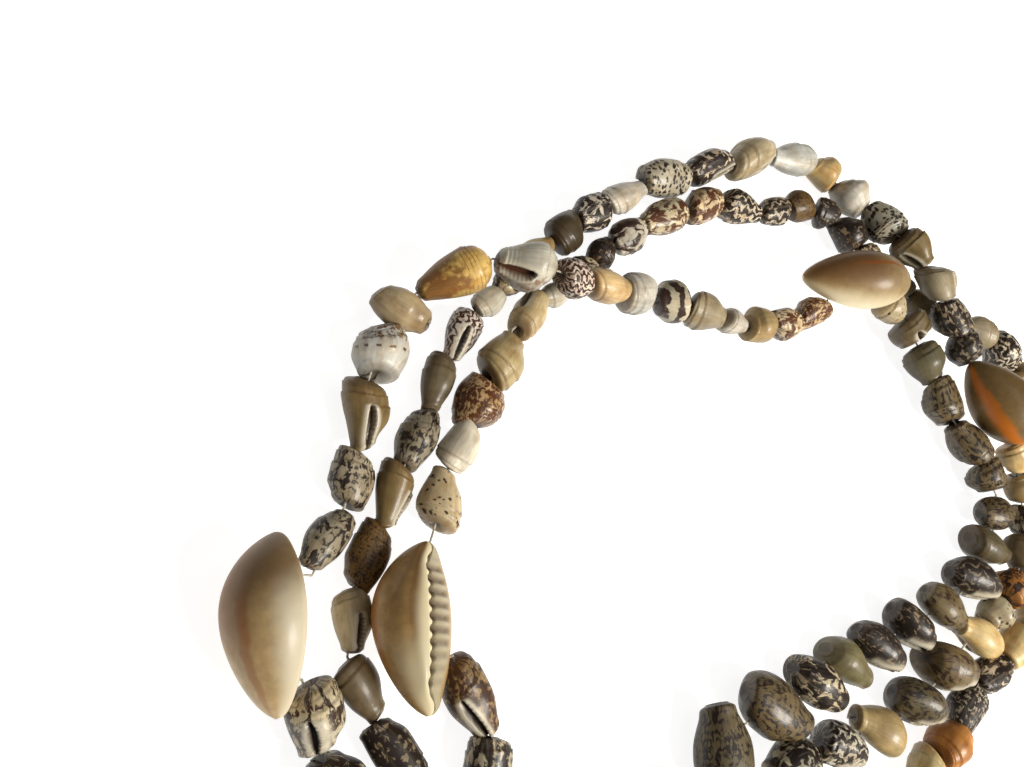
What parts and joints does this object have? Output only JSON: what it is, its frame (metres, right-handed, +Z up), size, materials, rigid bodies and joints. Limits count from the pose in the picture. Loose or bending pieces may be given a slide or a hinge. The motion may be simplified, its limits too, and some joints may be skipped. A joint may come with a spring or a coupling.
{
  "type": "shell necklace",
  "caption": "Necklace of three strands of small whole sea shells with a few large cowries and cone shells, lying loose.",
  "frame": {"origin": "middle of the neck opening, on the surface that the necklace lies on", "axes": "+Z up from the surface; +X along the longest side of the layout, to the right in the picture; +Y away from the clasp"},
  "size_m": [0.2657, 0.198, 0.0226],
  "materials": {
    "cream_shell": "glossy, mottled brown on cream",
    "speckled_shell": "glossy, dark speckles and zigzags on olive cream",
    "cowrie_cream": "polished, cream with an orange-brown line",
    "cowrie_tan": "polished, tan with an orange stripe",
    "golden_shell": "satin, fine spiral lines",
    "pearl_shell": "glossy white, brown mouth",
    "thread": "translucent pale thread",
    "clasp": "plain cream"
  },
  "bodies": {
    "root": {"strand_outer_a": "cream_shell", "strand_outer_b": "speckled_shell", "strand_middle_a": "cream_shell", "strand_middle_b": "speckled_shell", "strand_inner_a": "cream_shell", "strand_inner_b": "speckled_shell", "cowrie_left": "cowrie_cream", "cowrie_toothed": "cowrie_cream", "cowrie_right": "cowrie_tan", "cowrie_edge": "cowrie_tan", "cone_golden": "golden_shell", "cone_white": "pearl_shell", "thread_outer": "thread", "thread_middle": "thread", "thread_inner": "thread", "clasp_bar": "clasp"}
  },
  "joints": []
}
